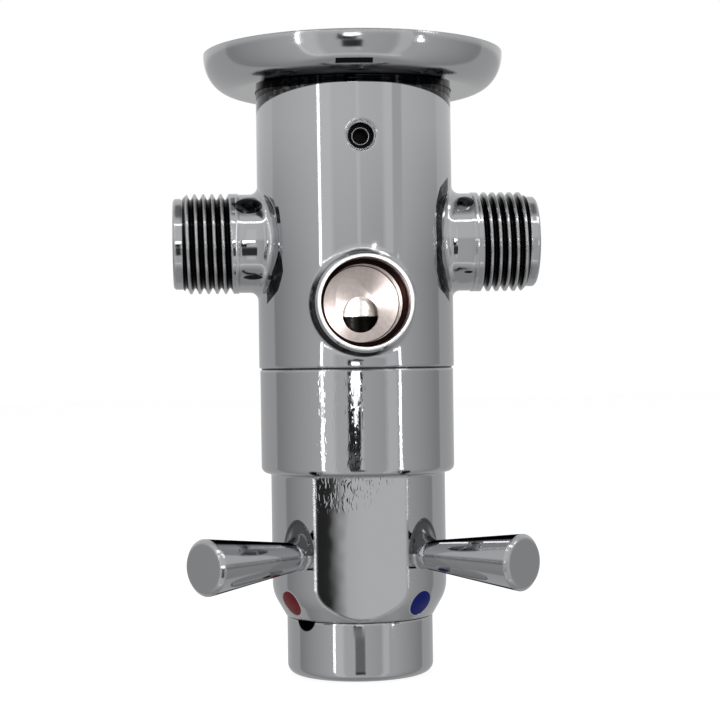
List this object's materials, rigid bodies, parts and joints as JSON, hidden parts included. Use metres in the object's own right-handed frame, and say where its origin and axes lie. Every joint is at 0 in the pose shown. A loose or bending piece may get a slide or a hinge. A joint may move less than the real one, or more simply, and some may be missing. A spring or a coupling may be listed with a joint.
{
  "type": "thermostatic mixing valve",
  "caption": "Chromed column-shaped thermostatic mixing valve with side inlets, front outlet, T-lever barrel and temperature knob.",
  "frame": {"origin": "centre of the fixing socket's mouth, in the plane of the surface that the valve is fixed to", "axes": "+Z along the body and into that surface; -Y is the front, with the outlet; hot inlet at -X, cold inlet at +X"},
  "size_m": [0.0762, 0.0671, 0.1297],
  "materials": {
    "chrome_plate": "polished",
    "bare_brass": "turned",
    "bright_steel": "drawn",
    "black_steel": "blackened",
    "black_rubber": "matt",
    "white_acetal": "moulded",
    "copper_capsule": "drawn",
    "red_enamel": "glossy",
    "blue_enamel": "glossy"
  },
  "bodies": {
    "housing": {"bearing_ring_lower": "white_acetal", "bearing_ring_upper": "white_acetal", "bonnet": "bare_brass", "bonnet_o_ring": "black_rubber", "check_cage_cold": "white_acetal", "check_cage_hot": "white_acetal", "check_spring_cold": "bright_steel", "check_spring_hot": "bright_steel", "flange_o_ring": "black_rubber", "neck_o_ring": "black_rubber", "port_sleeve": "bare_brass", "return_spring": "bright_steel", "sleeve_o_ring_bottom": "black_rubber", "sleeve_o_ring_middle": "black_rubber", "sleeve_o_ring_top": "black_rubber", "stop_pin": "bright_steel", "strainer_cold": "bright_steel", "strainer_hot": "bright_steel", "valve_body": "chrome_plate", "wall_flange": "chrome_plate", "wall_grub_screw": "black_steel"},
    "lever": {"flow_tube": "bare_brass", "lever_key": "bright_steel", "barrel_circlip": "bright_steel", "lever_barrel": "chrome_plate", "lever_arm_left": "chrome_plate", "lever_arm_right": "chrome_plate", "hot_dot": "red_enamel", "cold_dot": "blue_enamel"},
    "knob": {"end_knob": "chrome_plate", "knob_grub_screw": "black_steel", "temperature_spindle": "bare_brass", "spindle_o_ring": "black_rubber", "spindle_washer": "white_acetal"},
    "thermostat": {"drive_nut": "bare_brass", "nut_guide_pin": "bright_steel", "overload_cup": "bare_brass", "overload_spring": "bright_steel", "overload_clip": "bright_steel", "wax_capsule": "copper_capsule", "shuttle": "white_acetal"},
    "check_hot": {"check_poppet_hot": "white_acetal"},
    "check_cold": {"check_poppet_cold": "white_acetal"}
  },
  "joints": [
    {"name": "lever_turn", "type": "hinge", "parent": "housing", "child": "lever", "pos_m": [0, 0, -0.09], "axis": [0, 0, 1], "range_deg": [0, 90]},
    {"name": "knob_turn", "type": "hinge", "parent": "lever", "child": "knob", "pos_m": [0, 0, -0.12], "axis": [0, 0, 1], "range_deg": [-110, 110]},
    {"name": "thermostat_slide", "type": "slide", "parent": "lever", "child": "thermostat", "axis": [0, 0, 1], "range_m": [-0.0005, 0.0005], "deforming": ["return_spring"]},
    {"name": "check_hot_slide", "type": "slide", "parent": "housing", "child": "check_hot", "axis": [1, 0, 0], "range_m": [0, 0.0025], "stiffness_N_per_m": 15, "deforming": ["check_spring_hot"]},
    {"name": "check_cold_slide", "type": "slide", "parent": "housing", "child": "check_cold", "axis": [-1, 0, 0], "range_m": [0, 0.0025], "stiffness_N_per_m": 15, "deforming": ["check_spring_cold"]}
  ],
  "couplings": [
    {"joint": "thermostat_slide", "follows": "knob_turn", "m_per_rad": -0.00023873}
  ]
}
